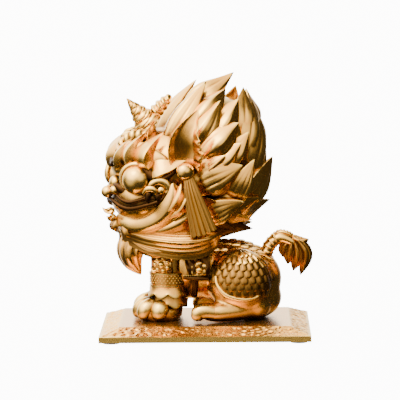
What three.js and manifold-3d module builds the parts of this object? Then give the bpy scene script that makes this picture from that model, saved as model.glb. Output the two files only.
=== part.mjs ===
// A small gilt lion of East Asian folk type, sitting on a bevelled plate with four rubber pads.
// The lion is one casting: body, head, flame mane, beard, horn, ears, ear tassels and tail.
// Millimetres, +Z up. X runs along the plate, the lion faces -X, and the origin is on the table
// under the middle of the plate.
import * as THREE from "three";
import { mergeVertices } from "three/addons/utils/BufferGeometryUtils.js";
import Module from "manifold-3d";

const wasm = await Module();
wasm.setup();

// Driving dimensions: the plate and its pads
const PLATE_LENGTH = 140;
const PLATE_DEPTH = 115;
const PLATE_EDGE = 3.75;
const PLATE_RISE = 5;
const PLATE_SLOPE = 13.5;
const PAD_RADIUS = 5.5;
const PAD_HEIGHT = 1.25;
const PAD_INSET = 8;
const PLATE_TOP = PAD_HEIGHT + PLATE_EDGE + PLATE_RISE;

// Driving dimensions: the lion, drawn with its paws at z = 0 and then set on the plate
const FIGURE_SCALE = 0.98;
const HEAD_X = -15;
const HEAD_TURN = 17;

const GOLD = { color: 0xc08a3e, metalness: 1, roughness: 0.32 };
const RUBBER = { color: 0x161413, metalness: 0, roughness: 0.8 };

// Profiles: the share of a form's half-width at each place t from its root, 0, to its tip, 1
const round = (t) => Math.sqrt(Math.max(0, 1 - (2 * t - 1) ** 2));
const leaf = (root, peak, point = 1.3) => (t) => {
  if (t < peak) return root + (1 - root) * Math.sin((Math.PI * t) / (2 * peak));
  return Math.max(0, Math.cos((Math.PI * (t - peak)) / (2 - 2 * peak))) ** point;
};

// Cross-sections: the outline's point at angle a, as [across, outward]
const power = (v, e) => Math.sign(v) * Math.abs(v) ** e;
const oval = (a) => [Math.cos(a), Math.sin(a)];
const flame = (a) => {
  const s = Math.sin(a);
  return [power(Math.cos(a), 1.4), s > 0 ? power(s, 1.9) : 0.7 * s];
};
const fluted = (count, depth) => (a) => {
  const reach = 1 - depth * Math.abs(Math.sin((count * a) / 2));
  return [reach * Math.cos(a), reach * Math.sin(a)];
};

// The corners that a faceted lock keeps: its two edges, its ridge and its belly
const LOCK_CORNERS = [0, 90, 180, 270].map(THREE.MathUtils.degToRad);

const shift = (p, q, share = 1) => p.map((v, k) => v + share * q[k]);
const between = (p, q, share) => p.map((v, k) => v + share * (q[k] - v));
const across = ([x, y, z]) => [x, -y, z];

// A closed form on a curved spine: a sphere whose poles go to the ends of the spine and whose
// rings become cross-sections. Its ridge faces the out direction, which may turn on the way.
// A table of rings, as [place along the spine, size], stands in for a profile.
function formGeometry(spec, mirrored) {
  const { spine, out, outTip = out, wide, thick = wide, profile = round, section = oval } = spec;
  const { corners = null, rings = null, turns = corners ? corners.length : 8 } = spec;
  const steps = rings ? rings.length - 1 : (spec.steps ?? 6);
  const points = spine.map((p) => new THREE.Vector3(...p));
  const curve = new THREE.CatmullRomCurve3(points, false, "catmullrom", 0.5);
  const geometry = new THREE.SphereGeometry(1, turns, steps);
  geometry.deleteAttribute("normal");
  geometry.deleteAttribute("uv");
  const position = geometry.attributes.position;
  const [first, last] = [new THREE.Vector3(...out), new THREE.Vector3(...outTip)];
  for (let i = 0; i < position.count; i++) {
    const ring = Math.floor(i / (turns + 1));
    const turn = (i % (turns + 1)) % turns;
    const even = profile === round ? (1 - Math.cos((Math.PI * ring) / steps)) / 2 : ring / steps;
    const t = rings ? rings[ring][0] : even;
    const along = curve.getTangent(Math.min(0.999, Math.max(0.001, t)));
    const side = first.clone().lerp(last, t).cross(along).normalize();
    const up = along.clone().cross(side).normalize();
    const angle = corners ? corners[turn] : (2 * Math.PI * turn) / turns;
    const [u, v] = section(angle, t);
    const size = ring === 0 || ring === steps ? 0 : (rings ? rings[ring][1] : profile(t));
    const point = curve.getPoint(t);
    point.addScaledVector(side, u * wide * size);
    point.addScaledVector(up, v * thick * size);
    position.setXYZ(i, point.x, mirrored ? -point.y : point.y, point.z);
  }
  return geometry;
}

// A three.js geometry as a manifold-3d solid, turned right side out
function solid(geometry) {
  const merged = mergeVertices(geometry, 1e-3);
  const triVerts = new Uint32Array(merged.index.array);
  const vertProperties = merged.attributes.position.array;
  const corner = (k) => new THREE.Vector3().fromArray(vertProperties, 3 * triVerts[k]);
  let volume = 0;
  for (let i = 0; i < triVerts.length; i += 3)
    volume += corner(i).dot(corner(i + 1).cross(corner(i + 2)));
  if (volume < 0) triVerts.reverse();
  return new wasm.Manifold(new wasm.Mesh({ numProp: 3, vertProperties, triVerts }));
}

const form = (spec) => [solid(formGeometry(spec, false))];
const pair = (spec) => [solid(formGeometry(spec, false)), solid(formGeometry(spec, true))];

function ball(centre, radii, turns = 8, steps = 6, tilt = 0) {
  const geometry = new THREE.SphereGeometry(1, turns, steps);
  geometry.deleteAttribute("normal");
  geometry.deleteAttribute("uv");
  geometry.scale(...radii).rotateY(THREE.MathUtils.degToRad(tilt)).translate(...centre);
  return [solid(geometry)];
}
const balls = (centre, ...rest) => [...ball(centre, ...rest), ...ball(across(centre), ...rest)];

// Everything from here to the body is in the head's own frame: -X to the nose, drawn above HEAD_X
const MANE_CENTRE = [12, 0, 105];
const MANE_CORE = [40, 38, 47];

// Flame locks of the mane as [tip, root, half-width]; the second table is cast on both sides
const MIDDLE_LOCKS = [
  [[37.3, 0, 168.4], [-18, 0, 130], 13],
  [[52.3, 0, 142.6], [54, 0, 92], 13],
  [[57, 0, 117], [50, 0, 72], 12],
  [[57, 0, 90], [32, 0, 58], 12],
  [[50, 0, 64], [10, 0, 56], 15],
];
const SIDE_LOCKS = [
  [[14.1, -12, 163.5], [-24, -14, 118], 13],
  [[-1, -29, 147], [-25, -26, 108], 11],
  [[21, -22, 150.4], [-4, -34, 112], 12],
  [[36.5, -2, 166.5], [36, -26, 122], 10],
  [[36.1, -14, 150.9], [26, -34, 112], 10],
  [[41.3, -9, 158.6], [50, -20, 118], 9],
  [[31.7, -29, 135.6], [0, -38, 104], 12],
  [[41, -22, 128.7], [26, -38, 94], 10],
  [[18.3, -42, 114.9], [2, -40, 98], 7],
  [[30.2, -42, 107.7], [-6, -38, 88], 14],
  [[41.8, -32, 110.7], [34, -38, 72], 9],
  [[60.4, -14, 110.6], [34, -26, 60], 13],
  [[59.1, -12, 80.7], [20, -16, 54], 12],
  [[44.1, -20, 61.8], [2, -18, 60], 13],
  [[31.7, -38, 83], [-4, -30, 62], 11],
  [[12.1, -42, 83.6], [-2, -36, 70], 6],
];

// A lock hugs the core from its root and lifts away at its tip
function lock([tip, root, wide], cast) {
  const inCore = (p) => new THREE.Vector3(...p.map((v, k) => (v - MANE_CENTRE[k]) / MANE_CORE[k]));
  const [from, to] = [inCore(root).normalize(), inCore(tip)];
  const turnBy = new THREE.Quaternion().setFromUnitVectors(from, to.clone().normalize());
  const still = new THREE.Quaternion();
  const at = (share) => {
    const turned = from.clone().applyQuaternion(still.clone().slerp(turnBy, share));
    turned.multiplyScalar(0.9 + 0.2 * share + (to.length() - 1.1) * share ** 3.2);
    return turned.toArray().map((v, k) => MANE_CENTRE[k] + MANE_CORE[k] * v);
  };
  const spine = [0, 0.35, 0.7, 1].map(at);
  const out = shift(at(0.5), MANE_CENTRE, -1);
  return cast({ spine, out, wide, thick: 0.5 * wide, profile: leaf(0.6, 0.42, 1.1), section: flame,
    corners: LOCK_CORNERS, steps: 4 });
}

function mane() {
  return [
    ...ball(MANE_CENTRE, MANE_CORE.map((v) => 0.95 * v), 12, 7),
    ...ball([23, 0, 127], [27, 25, 31], 8, 6),
    ...MIDDLE_LOCKS.flatMap((row) => lock(row, form)),
    ...SIDE_LOCKS.flatMap((row) => lock(row, pair)),
  ];
}

// Ribbed crest on the crown, from behind the horn up to the mane
function crest() {
  const ribs = Array.from({ length: 7 }, (_, i) => [(i + 1) / 8, i % 2 ? 0.75 : 1]);
  return form({ spine: [[-29, 0, 127], [-20, 0, 141], [-8, 0, 154]], out: [-1, 0, 1], wide: 5.5, thick: 4.5,
    rings: [[0, 0], ...ribs, [1, 0]], turns: 4 });
}

function horn() {
  const [base, tip] = [[-25.5, 0, 136], [-39.2, 0, 152.4]];
  const coils = 4;
  return [
    ...form({ spine: [base, between(base, tip, 0.5), tip], out: [0, 1, 0], wide: 7.6, thick: 7.6,
      profile: (t) => (1 - t) * (0.9 + 0.1 * Math.cos(2 * Math.PI * coils * t)) + 0.02,
      turns: 6, steps: 2 * coils }),
    ...ball([-27, 0, 131], [6.5, 8, 6], 7, 5),
    ...[0, 1, 2, 3].flatMap((i) =>
      ball([-47 + 5 * i, 0, 116.5 + 4 * i], [2.2, 6 - 0.5 * i, 5.5], 5, 4, -25),
    ),
  ];
}

function brows() {
  const flames = [
    [[-41.6, -12, 123.2], [-49, -9, 108], 5],
    [[-29.2, -20, 127.9], [-43, -20, 108], 5.5],
    [[-19.8, -28, 126.2], [-35, -29, 106], 6.5],
  ];
  return [
    ...ball([-37, 0, 104], [16, 17, 14], 8, 6),
    ...pair({
      spine: [[-50, 2, 101], [-49, -10, 111], [-39, -26, 111.5], [-25, -36, 104], [-11.5, -40, 108.2]],
      out: [-1, -0.3, 0.3], outTip: [0, -1, 0.2], wide: 8.5, thick: 4.5,
      rings: [[0, 0], [0.12, 0.5], [0.3, 0.62], [0.48, 0.75], [0.66, 1], [0.82, 0.7], [1, 0]], turns: 5 }),
    ...flames.flatMap(([tip, root, wide]) =>
      pair({ spine: [root, shift(between(root, tip, 0.5), [-3, -1.5, 1]), tip], out: [-0.6, -1, 0.6],
        wide, thick: 0.7 * wide, profile: leaf(0.7, 0.35), section: flame, corners: LOCK_CORNERS,
        steps: 4 }),
    ),
  ];
}

function muzzle() {
  const upper = [[-20, 36, 93], [-31, 31, 84], [-43, 18, 79], [-50, 0, 83.5]];
  const lower = [[-15, 37, 88], [-30, 31, 75], [-43, 18, 70], [-49, 0, 75]];
  const lips = (half) => [...half, ...half.slice(0, 3).reverse().map(across)];
  const lip = (half, wide, thick) =>
    form({ spine: lips(half), out: [0, 0, 1], wide, thick, profile: leaf(0.4, 0.5, 0.4), turns: 4,
      steps: 10 });
  const tooth = (root, tip) =>
    pair({ spine: [root, between(root, tip, 0.5), tip], out: [0, -1, 0], wide: 2.6,
      profile: leaf(0.9, 0.2, 0.8), turns: 4, steps: 3 });
  return [
    ...balls([-41.5, -21.5, 98.2], [9.8, 9.8, 9.8], 9, 7),
    ...ball([-53.5, 0, 89], [4.3, 4.6, 4.2], 6, 4),
    ...balls([-49.5, -6, 90.5], [3.8, 3.4, 3.4], 5, 4),
    ...lip(upper, 3.2, 2.8),
    ...lip(lower, 4.4, 4.2),
    ...balls([-22, -35, 92.5], [4.6, 4, 4.6], 5, 4),
    ...tooth([-33, -29, 91], [-33, -29, 82]),
    ...tooth([-27, -32, 92], [-26, -33, 83]),
  ];
}

// Jaw beard: layered locks that fan back from the chin, frills on the cheek, strands at the chin
function beard() {
  const locks = [
    [[-9, -38, 75.6], [-44, -12, 70], [-28, -31, 68], 8, [0, -1, -0.4]],
    [[-22.6, -32, 65.9], [-46, -4, 70], [-38, -20, 64], 6, [-0.6, -1, -0.5]],
    [[-36.2, -15, 61.5], [-48, 0, 72], [-46, -8, 65], 5, [-1, -0.6, -0.5]],
    [[-44.5, -3, 62.5], [-48, 2, 76], [-50, -1, 69], 3, [-1, 0, -0.3]],
    [[-52.5, -3, 69.5], [-49, -2, 78], [-52, -3, 74], 3, [-1, 0, -0.3]],
    [[-16, -38, 99], [-21, -35, 80], [-20, -38, 90], 4, [0, -1, 0]],
    [[-9, -39, 98], [-14, -36, 76], [-12, -39, 88], 5, [0, -1, 0]],
    [[-54.7, -20, 78], [-44, -16, 80], [-49, -18, 78], 3, [-0.5, -1, 0]],
  ];
  return locks.flatMap(([tip, root, belly, wide, out]) =>
    pair({ spine: [root, belly, tip], out, wide, thick: 0.6 * wide, profile: leaf(0.6, 0.4), section: flame,
      corners: LOCK_CORNERS, steps: 4 }),
  );
}

// The long sweep of chest hair under the jaw and the tuft that hangs over the breast
function chestHair() {
  return [
    ...pair({ spine: [[-42, -3, 57], [-27, -26, 52], [-5, -37, 50.5], [16, -35, 58.2]],
      out: [-0.3, -1, -0.3], outTip: [0, -1, -0.5], wide: 7.5, thick: 5, profile: leaf(0.6, 0.5, 0.9),
      section: flame, corners: LOCK_CORNERS, steps: 6 }),
    ...pair({ spine: [[-38, -8, 56], [-30, -22, 46], [-14, -30, 50.2]], out: [-0.5, -1, -0.2], wide: 7,
      thick: 5, profile: leaf(0.6, 0.4), section: flame, corners: LOCK_CORNERS, steps: 5 }),
    ...form({ spine: [[-30, 0, 62], [-35, 0, 51], [-34.5, 0, 41], [-30.9, 0, 31]], out: [-1, 0, 0],
      wide: 14, thick: 9, profile: leaf(0.7, 0.35, 1), turns: 8, steps: 5 }),
  ];
}

function ears() {
  return [
    ...pair({ spine: [[-7, -39, 106], [-9, -42, 116], [-10, -43, 130], [-1.3, -40, 146]],
      out: [-0.2, -1, 0.1], wide: 11, thick: 3.5, profile: leaf(0.4, 0.42, 1.1), section: flame,
      corners: LOCK_CORNERS, steps: 6 }),
    ...balls([-11, -42, 104.7], [5, 5, 4.8], 7, 5),
    ...pair({ spine: [[-9, -41, 104], [-6, -41, 88], [1.5, -41, 64.4]], out: [0, -1, 0], wide: 9.6,
      thick: 4, rings: [[0, 0], [0, 0.35], [0.4, 0.5], [1, 1], [1, 0]], section: fluted(6, 0.14),
      turns: 12 }),
  ];
}

function head() {
  return [
    ...mane(),
    ...ball([-8, 0, 104], [38, 35, 30], 12, 7),
    ...ball([-26, 0, 82], [24, 32, 18], 12, 7),
    ...ball([-8, 0, 68], [30, 32, 18], 10, 6),
    ...crest(),
    ...horn(),
    ...brows(),
    ...muzzle(),
    ...beard(),
    ...chestHair(),
    ...ears(),
  ];
}

// The body, in the plate's frame with z from the plate's top
function torso() {
  return [
    ...ball([-10, 0, 38], [24, 23, 25], 8, 6),
    ...ball([8, 0, 33], [30, 24, 20.5], 10, 6),
    ...ball([26, 0, 27], [26.5, 25, 24], 12, 7),
    ...ball([34, 0, 14], [18.5, 22, 15], 10, 5),
  ];
}

const FORELEG = [-25.3, 13];
const HAUNCH = [23, 20, 29];
const HAUNCH_RADII = [21.5, 17.5, 24];

// Height and radius of a foreleg at the ankle, its two hems, its band and its shoulder
const FORELEG_RINGS = [
  [3, 0], [3, 9], [14, 12], [15, 10.6], [19, 12], [20, 10.8], [25, 11], [26, 12.4], [40, 12.8],
  [41, 11.6], [58, 11.6], [58, 0],
];

function forelegs() {
  const [x, y] = FORELEG;
  const [foot, shoulder] = [FORELEG_RINGS[0][0], FORELEG_RINGS.at(-1)[0]];
  return [
    ...pair({ spine: [[x, -y, foot], [x, -y, (foot + shoulder) / 2], [x, -y, shoulder]],
      rings: FORELEG_RINGS.map(([z, radius]) => [(z - foot) / (shoulder - foot), radius]),
      out: [0, -1, 0], wide: 1, turns: 8 }),
    ...balls([x - 5, -y - 8, 47], [7.5, 5, 7], 5, 4),
    ...balls([x - 7, -y, 6.5], [15, 12.4, 9.5], 8, 5),
    ...[-8.5, 0, 8.5].flatMap((side, i) => {
      const reach = [20, 24, 20][i];
      const knuckle = [x - reach + 6, -y + side, 10];
      return pair({ spine: [[x - 6, -y + 0.8 * side, 8], knuckle, [x - reach, -y + side, 4]],
        out: [0, 0, 1], wide: 4.6, thick: 6, profile: leaf(0.9, 0.6, 0.35), turns: 5, steps: 3 });
    }),
  ];
}

// Scales lie in staggered rows over the haunch
function scales() {
  const [cx, cy, cz] = HAUNCH;
  const [rx, ry, rz] = HAUNCH_RADII;
  const onHaunch = (turn, lift, swell) => {
    const [a, b] = [turn, lift].map(THREE.MathUtils.degToRad);
    return [
      cx + swell * rx * Math.sin(a) * Math.cos(b),
      -cy - swell * ry * Math.cos(a) * Math.cos(b),
      cz + swell * rz * Math.sin(b),
    ];
  };
  const plates = [];
  for (let row = 0; row < 6; row++)
    for (let i = 0; i < 6; i++) {
      const [turn, lift] = [-62 + 22 * i + (row % 2) * 11, -24 + 15 * row];
      const spine = [10, 0, -8].map((drop, k) => onHaunch(turn, lift + drop, [0.95, 1, 1.03][k]));
      const out = shift(spine[1], [cx, -cy, cz], -1);
      const wide = 4.6 * Math.cos(THREE.MathUtils.degToRad(lift));
      plates.push(...pair({ spine, out, wide, thick: 1.6, rings: [[0, 0], [0.75, 1], [1, 0]], turns: 4 }));
    }
  return plates;
}

function hindLegs() {
  return [
    ...balls(across(HAUNCH), HAUNCH_RADII, 12, 8),
    ...pair({ spine: [[34, -18, 9], [22, -24, 7.5], [8, -28.5, 7], [-5.5, -29.5, 5.5]], out: [0, 0, 1],
      wide: 8.4, thick: 7.4, profile: leaf(0.9, 0.5, 0.3), turns: 7, steps: 4 }),
    ...balls([36, -16, 11], [11, 12, 11], 7, 5),
    ...[-5, 0, 5].flatMap((side) =>
      pair({ spine: [[8, -28 + side, 8], [0, -29 + side, 9], [-5.5, -29.5 + side, 4]], out: [0, 0, 1],
        wide: 3.2, thick: 5, profile: leaf(0.9, 0.6, 0.35), turns: 5, steps: 3 }),
    ),
  ];
}

function harness() {
  const petals = (a) => {
    const reach = 1 - 0.16 * Math.abs(Math.sin(3 * a));
    return [reach * Math.cos(a), reach * Math.sin(a)];
  };
  return [
    ...pair({ spine: [[-4, -18, 36.5], [-4, -23, 36.5], [-4, -28, 36.5]], out: [0, 0, 1], wide: 6.6,
      section: petals, rings: [[0, 0], [0.3, 1], [0.72, 1], [0.8, 0.5], [1, 0]], turns: 12 }),
    ...pair({ spine: [[-16, -23.5, 31], [-6, -24.6, 31], [2, -23.6, 30.5]], out: [0, -1, 0], wide: 1.2,
      profile: leaf(0.8, 0.5, 0.4), turns: 4, steps: 4 }),
    ...pair({ spine: [[-7.5, -23.8, 31], [-7.5, -22.8, 26], [-7.5, -19, 19.5]], out: [0, -1, 0],
      wide: 2.4, thick: 1.4, profile: leaf(0.8, 0.5, 0.4), turns: 4, steps: 4 }),
  ];
}

function tail() {
  const tuft = [
    [[57, 0, 52], [55, 0, 46], [52.1, 0, 39.2], 4],
    [[60, 0, 52], [60, 0, 42], [57.1, 0, 32], 5],
    [[62, 0, 52], [67.5, 0, 42], [64.2, 0, 28.6], 5],
    [[60, 0, 53], [66, 0, 50], [72.8, 0, 51.9], 3.4],
  ];
  return [
    ...form({ spine: [[40, 0, 36], [43.5, 0, 48], [50.5, 0, 54.5], [59, 0, 52], [63, 0, 46]], out: [0, 1, 0],
      wide: 4.4, thick: 5.2, profile: leaf(1, 0.3, 0.4), turns: 6, steps: 6 }),
    ...form({ spine: [[43, 0, 54], [51, 0, 57.5], [60, 0, 54.5]], out: [0, 0, 1], wide: 4, thick: 2,
      profile: leaf(0.4, 0.5, 0.7), turns: 5, steps: 5 }),
    ...tuft.flatMap(([root, belly, tip, wide]) =>
      form({ spine: [root, belly, tip], out: [0, -1, 0], wide: 1.1 * wide, thick: wide,
        profile: leaf(0.8, 0.45, 1), corners: LOCK_CORNERS, steps: 4 }),
    ),
  ];
}

function body() {
  return [
    ...torso(),
    ...forelegs(),
    ...hindLegs(),
    ...scales(),
    ...harness(),
    ...tail(),
  ];
}

// The whole casting, cut off flat where it stands on the plate
function lion() {
  const turned = wasm.Manifold.union(head()).rotate([0, 0, HEAD_TURN]).translate([HEAD_X, 0, 0]);
  const whole = wasm.Manifold.union([turned, ...body()])
    .trimByPlane([0, 0, 1], 0)
    .scale(FIGURE_SCALE)
    .translate([0, 0, PLATE_TOP])
    .asOriginal()
    .simplify(0.62);
  const bodies = whole.decompose().sort((a, b) => b.volume() - a.volume());
  return bodies[0];
}

function plate() {
  const low = PAD_HEIGHT;
  const corners = [
    [0, low],
    [0, low + PLATE_EDGE],
    [PLATE_SLOPE, PLATE_TOP],
  ].flatMap(([inset, z]) => {
    const [x, y] = [PLATE_LENGTH / 2 - inset, PLATE_DEPTH / 2 - inset];
    return [[x, y, z], [-x, y, z], [-x, -y, z], [x, -y, z]];
  });
  return wasm.Manifold.hull(corners);
}

function pad(x, y) {
  return wasm.Manifold.cylinder(PAD_HEIGHT, PAD_RADIUS, PAD_RADIUS, 16).translate([x, y, 0]);
}

function meshOf(name, shape, finish) {
  const { vertProperties, triVerts } = shape.getMesh();
  const geometry = new THREE.BufferGeometry();
  geometry.setAttribute("position", new THREE.BufferAttribute(new Float32Array(vertProperties), 3));
  geometry.setIndex(new THREE.BufferAttribute(new Uint32Array(triVerts), 1));
  const mesh = new THREE.Mesh(geometry, new THREE.MeshStandardMaterial(finish));
  mesh.name = name;
  return mesh;
}

const statue = new THREE.Group();
statue.name = "lion_statue";
statue.add(meshOf("lion", lion(), GOLD));
statue.add(meshOf("base_plate", plate(), GOLD));
const [padX, padY] = [PLATE_LENGTH / 2 - PAD_INSET, PLATE_DEPTH / 2 - PAD_INSET];
statue.add(meshOf("rubber_pad_front_left", pad(-padX, -padY), RUBBER));
statue.add(meshOf("rubber_pad_front_right", pad(-padX, padY), RUBBER));
statue.add(meshOf("rubber_pad_back_left", pad(padX, -padY), RUBBER));
statue.add(meshOf("rubber_pad_back_right", pad(padX, padY), RUBBER));
export default statue;
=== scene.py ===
# %% [markdown]
# # A gilt lion on its plate
# The object is one satin gold casting, a seated lion with a turned head, on a bevelled plate
# with four rubber pads. The CAD model fixes every size. This lesson builds the finer carving
# over it: each piece is drawn in millimetres, as the CAD source is, and is scaled to metres
# at the end, so both models share one frame.

from math import acos, atan2, cos, degrees, pi, radians, sin, sqrt

import bmesh
import bpy
import numpy as np
from mathutils import Matrix, Quaternion, Vector, noise
from mathutils.bvhtree import BVHTree


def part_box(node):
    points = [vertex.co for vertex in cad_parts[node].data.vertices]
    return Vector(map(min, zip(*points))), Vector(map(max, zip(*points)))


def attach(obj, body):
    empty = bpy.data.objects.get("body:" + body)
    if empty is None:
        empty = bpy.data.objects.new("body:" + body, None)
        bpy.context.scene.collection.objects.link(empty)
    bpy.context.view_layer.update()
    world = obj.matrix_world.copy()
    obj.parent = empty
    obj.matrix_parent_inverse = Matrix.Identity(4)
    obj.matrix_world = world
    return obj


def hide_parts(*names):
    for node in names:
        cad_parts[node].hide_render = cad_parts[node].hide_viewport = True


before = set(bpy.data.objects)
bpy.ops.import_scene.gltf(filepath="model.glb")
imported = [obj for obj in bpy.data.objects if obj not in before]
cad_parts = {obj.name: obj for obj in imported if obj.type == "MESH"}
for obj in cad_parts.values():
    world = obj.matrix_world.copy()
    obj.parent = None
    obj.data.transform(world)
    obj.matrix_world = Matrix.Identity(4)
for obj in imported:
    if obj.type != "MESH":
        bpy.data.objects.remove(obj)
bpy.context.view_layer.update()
MM = 0.001
print("nodes:", sorted(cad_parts))

# %% [markdown]
# ## The camera
# The camera stands nearly two metres away with a long lens, as a product photographer's does,
# so the plate's edges stay almost parallel. Its place was fitted to the plate's corners.
# A camera looks along its own -Z, so its matrix is built from its right, up and back directions.

# %% Camera
CAMERA_AT = (0.025376, -1.89386, 0.289292)
YAW, PITCH, ROLL = -0.0151, 0.1051, -0.0093
FOCAL_PIXELS, PICTURE_WIDTH = 2826.3, 400
SENSOR = 36
FAR_LIMIT = 50


def link(item):
    """Adds an object to the scene and hands it back."""
    bpy.context.scene.collection.objects.link(item)
    return item


forward = Vector((sin(YAW) * cos(PITCH), cos(YAW) * cos(PITCH), -sin(PITCH)))
level = Vector((cos(YAW), -sin(YAW), 0))
upright = level.cross(forward)
right = level * cos(ROLL) + upright * sin(ROLL)
up = upright * cos(ROLL) - level * sin(ROLL)

camera_data = bpy.data.cameras.new("camera")
camera_data.sensor_width = SENSOR
camera_data.lens = FOCAL_PIXELS / PICTURE_WIDTH * SENSOR
camera_data.clip_end = FAR_LIMIT
camera = link(bpy.data.objects.new("camera", camera_data))
turned = Matrix((right, up, -forward)).transposed().to_4x4()
camera.matrix_world = Matrix.Translation(CAMERA_AT) @ turned
bpy.context.scene.camera = camera
print("lens in mm:", round(camera_data.lens, 1))

# %% [markdown]
# ## Shader maths as plain expressions
# A material's node tree could be wired by hand, but a formula such as `1 - mask * 0.5` is far
# easier to read. A small class wraps a node's output and overloads the operators, so that an
# expression adds its own Math nodes. Any other node comes from one method, `node`. The Mix
# node has several sockets called A and B, so the colour ones are picked by their number.

# %% Socket wrapper
def plug(tree, item, place):
    """Links a value to a node's socket, or sets the socket's own number or colour."""
    if isinstance(item, Value):
        tree.links.new(item.socket, place)
    else:
        place.default_value = item


class Value:
    """A node's output that can be used in arithmetic."""

    def __init__(self, tree, socket):
        self.tree = tree
        self.socket = socket

    def maths(self, operation, *others, flip=False):
        made = self.tree.nodes.new("ShaderNodeMath")
        made.operation = operation
        given = [self, *others]
        if flip:
            given.reverse()
        for place, item in zip(made.inputs, given):
            plug(self.tree, item, place)
        return Value(self.tree, made.outputs[0])

    def __add__(self, other):
        return self.maths("ADD", other)

    def __sub__(self, other):
        return self.maths("SUBTRACT", other)

    def __rsub__(self, other):
        return self.maths("SUBTRACT", other, flip=True)

    def __mul__(self, other):
        return self.maths("MULTIPLY", other)

    __radd__ = __add__
    __rmul__ = __mul__

    def clamped(self):
        return self.maths("MINIMUM", 1.0).maths("MAXIMUM", 0.0)


print("operators: + - *")

# %% Node trees and materials
MIX_FACTOR, MIX_A, MIX_B, MIX_COLOUR = 0, 6, 7, 2


class Nodes:
    """A node tree and short ways to add nodes to it."""

    def __init__(self, tree):
        self.tree = tree

    def node(self, kind, settings=None, inputs=None, output=0):
        """Any node: its settings first, then the values or links of its sockets."""
        made = self.tree.nodes.new(kind)
        for name, setting in (settings or {}).items():
            setattr(made, name, setting)
        for name, item in (inputs or {}).items():
            plug(self.tree, item, made.inputs[name])
        return Value(self.tree, made.outputs[output])

    def mix(self, factor, one, other):
        """A colour between one and other, since a Math node would turn it grey."""
        return self.node("ShaderNodeMix", {"data_type": "RGBA"},
                         {MIX_FACTOR: factor, MIX_A: one, MIX_B: other}, output=MIX_COLOUR)


class Finish(Nodes):
    """A material, whose shader is fed with values and constants."""

    def __init__(self, name):
        self.material = bpy.data.materials.new(name)
        self.material.use_nodes = True
        super().__init__(self.material.node_tree)
        self.shader = self.tree.nodes["Principled BSDF"]

    def feed(self, name, item):
        """Links a varying value to the shader, or sets a constant on the shader's own socket."""
        plug(self.tree, item, self.shader.inputs[name])

    def attribute(self, name):
        return self.node("ShaderNodeAttribute", {"attribute_name": name}, output="Fac")

    def place(self):
        return self.node("ShaderNodeTexCoord", output="Object")

    def noise(self, size, detail=2.0):
        """Noise whose lumps are about size millimetres wide."""
        inputs = {"Vector": self.place(), "Scale": 0.5 / (size * MM), "Detail": detail}
        return self.node("ShaderNodeTexNoise", inputs=inputs, output="Fac")

    def bump(self, height, strength, distance):
        inputs = {"Height": height, "Strength": strength, "Distance": distance * MM}
        self.feed("Normal", self.node("ShaderNodeBump", inputs=inputs))


print("node trees have", [name for name in vars(Nodes) if name[0] != "_"])

# %% [markdown]
# ## The gilt finish
# The real finish is a satin gold film over a darker ground. It is paler where the surface
# stands out, and brown in the hollows, partly from real toning and partly as painted shade. Two
# numbers stored on the mesh carry that: `hollow` says how much of the sky a point can't see, and
# `edge` how sharply it stands out. Painted shade also darkens the gold near the plate. Broad
# noise breaks up the colour, fine noise the gloss, and a small bump gives the cast skin.

# %% Gilt materials
GOLD = (0.84, 0.45, 0.083, 1)
PALE_GOLD = (0.95, 0.67, 0.16, 1)
# The brown of the toning and of the painted shade.
BROWN = (0.055, 0.026, 0.008, 1)
PATCH, GRAIN, SKIN = 14, 1.2, 0.35
# Painted shade near the plate: the height in metres where it starts, and how fast it deepens below
# it.
LOW_SHADE_TOP, LOW_SHADE_FADE = 0.05, 30


def gilt(name, roughness, relief, hollow_toning_and_shade, shade=0.0):
    """Satin gold with toning and painted shade in the hollows, pale edges, painted shade near
    the plate and a fine cast skin.
    """
    finish = Finish(name)
    hollow = finish.attribute("hollow")
    edge = finish.attribute("edge")
    patch = finish.noise(PATCH) - 0.5
    fine = finish.noise(GRAIN, detail=4)
    height = finish.node("ShaderNodeSeparateXYZ", inputs={"Vector": finish.place()}, output="Z")
    # Painted shade, darker towards the plate.
    foot = ((LOW_SHADE_TOP - height) * LOW_SHADE_FADE).clamped() * shade
    # The brown mix: toning and painted shade from `hollow`, random patches, and the painted shade
    # near the plate.
    brown_shade_and_toning = ((hollow * 2.3 - 0.4 + patch * 0.2) * hollow_toning_and_shade + foot).clamped()
    # Paler gold where the surface stands out from its neighbours.
    edge_paleness = (edge * 0.8 + patch * 0.3).clamped()
    finish.feed("Base Color", finish.mix(brown_shade_and_toning, finish.mix(edge_paleness, GOLD, PALE_GOLD), BROWN))
    finish.feed("Metallic", 1.0)
    finish.feed("Roughness", (roughness + (fine - 0.5) * 0.10 + brown_shade_and_toning * 0.14).clamped())
    finish.bump(fine + finish.noise(SKIN) * 0.4, relief, distance=0.12)
    return finish.material


# The casting's gold gets the most toning and painted shade, in the hollows and near the plate. The
# plate's gold has no painted shade near its foot.
casting_gold = gilt("gilt_casting_gold", 0.25, 0.35, hollow_toning_and_shade=0.85, shade=0.5)
# The same gold with far less toning and painted shade, for parts that should look brighter.
less_shaded_gold = gilt("gilt_less_shaded_gold", 0.25, 0.35, hollow_toning_and_shade=0.45, shade=0.05)
plate_gold = gilt("gilt_plate_gold", 0.27, 0.30, hollow_toning_and_shade=0.4)
print("made", casting_gold.name, less_shaded_gold.name, plate_gold.name)

# %% [markdown]
# ## Forms on a curved spine
# Nearly everything on this lion is a closed form that follows a curve: a flame lock, a brow, a
# toe, a lip. Each could be sculpted by hand, but a rule is easier to repeat. A UV sphere is the
# start. Its poles go to the two ends of the spine, and its rings become cross-sections that a
# profile swells and thins. The section is a small function, so that a lock can have a ridge, a
# tassel its flutes and an ear its hollow.

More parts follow.
